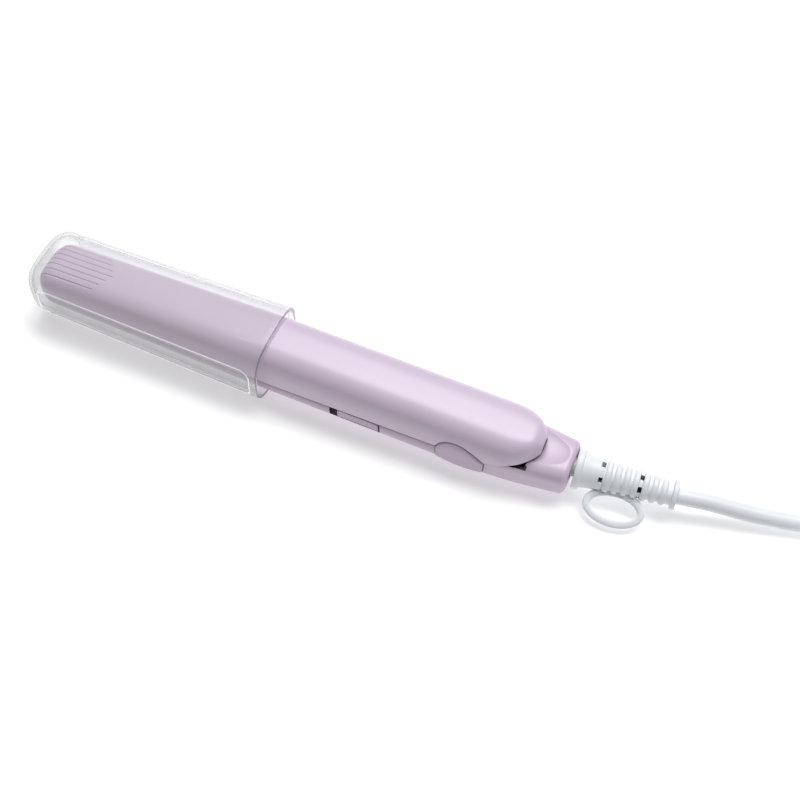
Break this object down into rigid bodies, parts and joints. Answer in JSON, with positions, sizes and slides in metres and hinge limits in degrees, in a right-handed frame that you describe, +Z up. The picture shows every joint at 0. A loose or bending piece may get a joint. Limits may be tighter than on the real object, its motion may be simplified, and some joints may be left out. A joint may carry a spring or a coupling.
{
  "type": "hair crimper",
  "caption": "Slim hair crimper: two arms hinged near the cord, a clear pull-off cover over the waved plates, a slide switch, a lock button and a swivelling cord guard with a hanging loop.",
  "frame": {"origin": "on the table, under the middle of the box of the tool without its lead", "axes": "+X along the tool from its tip to its cord, +Z up, -Y on the side with the slide switch and the lock button"},
  "size_m": [0.4412, 0.0566, 0.0333],
  "materials": {
    "lilac_plastic": "satin moulded plastic",
    "lilac_trim": "matt moulded plastic",
    "clear_plastic": "clear polished plastic",
    "white_flex": "soft satin PVC",
    "white_plastic": "white moulded plastic",
    "crimp_plate": "ceramic-coated aluminium",
    "heat_resin": "glass-filled heat-resistant plastic",
    "heater_ceramic": "PTC heater in ceramic",
    "steel": "bright steel",
    "brass": "plated brass",
    "wire_jacket": "silicone insulation",
    "tie_strap": "matt soft strap"
  },
  "bodies": {
    "body": {"lower_shell": "lilac_plastic", "lower_inner_cover": "lilac_trim", "lower_plate_carrier": "heat_resin", "lower_crimp_plate": "crimp_plate", "lower_heater": "heater_ceramic", "lower_heater_clip": "steel", "switch_body": "heat_resin", "lock_guide": "white_plastic", "thermal_fuse": "steel", "lower_wire_near": "wire_jacket", "lower_wire_far": "wire_jacket", "hinge_pin": "steel", "hinge_spring": "steel", "swivel_bush": "brass", "brush_1": "brass", "brush_2": "brass", "base_screw_1": "steel", "base_screw_2": "steel", "power_cord": "white_flex", "cord_hank": "white_flex", "cord_tail": "white_flex", "hank_tie": "tie_strap", "plug_body": "white_plastic", "plug_pin_near": "brass", "plug_pin_far": "brass"},
    "arm": {"upper_shell": "lilac_plastic", "upper_inner_cover": "lilac_trim", "upper_plate_carrier": "heat_resin", "upper_crimp_plate": "crimp_plate", "upper_heater": "heater_ceramic", "upper_heater_clip": "steel", "upper_wire_near": "wire_jacket", "upper_wire_far": "wire_jacket", "hinge_bush_near": "brass", "hinge_bush_far": "brass", "cover_screw_1": "steel", "cover_screw_2": "steel"},
    "cover": {"protective_cover": "clear_plastic"},
    "slider": {"power_slider": "lilac_trim"},
    "lock": {"lock_button": "lilac_trim"},
    "swivel": {"cord_guard": "white_flex", "swivel_stem": "white_plastic", "slip_ring_1": "brass", "slip_ring_2": "brass"}
  },
  "joints": [
    {"name": "cover_slide", "type": "slide", "parent": "body", "child": "cover", "axis": [-0.9983, 0, 0.0576], "range_m": [0, 0.4]},
    {"name": "arm_hinge", "type": "hinge", "parent": "body", "child": "arm", "pos_m": [0.06766, 0, 0.00974], "axis": [0, 1, 0], "range_deg": [0, 8.1]},
    {"name": "power_slide", "type": "slide", "parent": "body", "child": "slider", "axis": [-0.9997, 0, 0.0262], "range_m": [0, 0.0024]},
    {"name": "lock_press", "type": "slide", "parent": "body", "child": "lock", "axis": [0, 1, 0], "range_m": [0, 0.0015], "stiffness_N_per_m": 300},
    {"name": "cord_swivel", "type": "hinge", "parent": "body", "child": "swivel", "pos_m": [0.08665, 0.0005, 0.00924], "axis": [0.9942, 0.1045, -0.026], "continuous": true}
  ],
  "couplings": [
    {"joint": "arm_hinge", "follows": "cover_slide", "rad_per_m": 0.35}
  ]
}
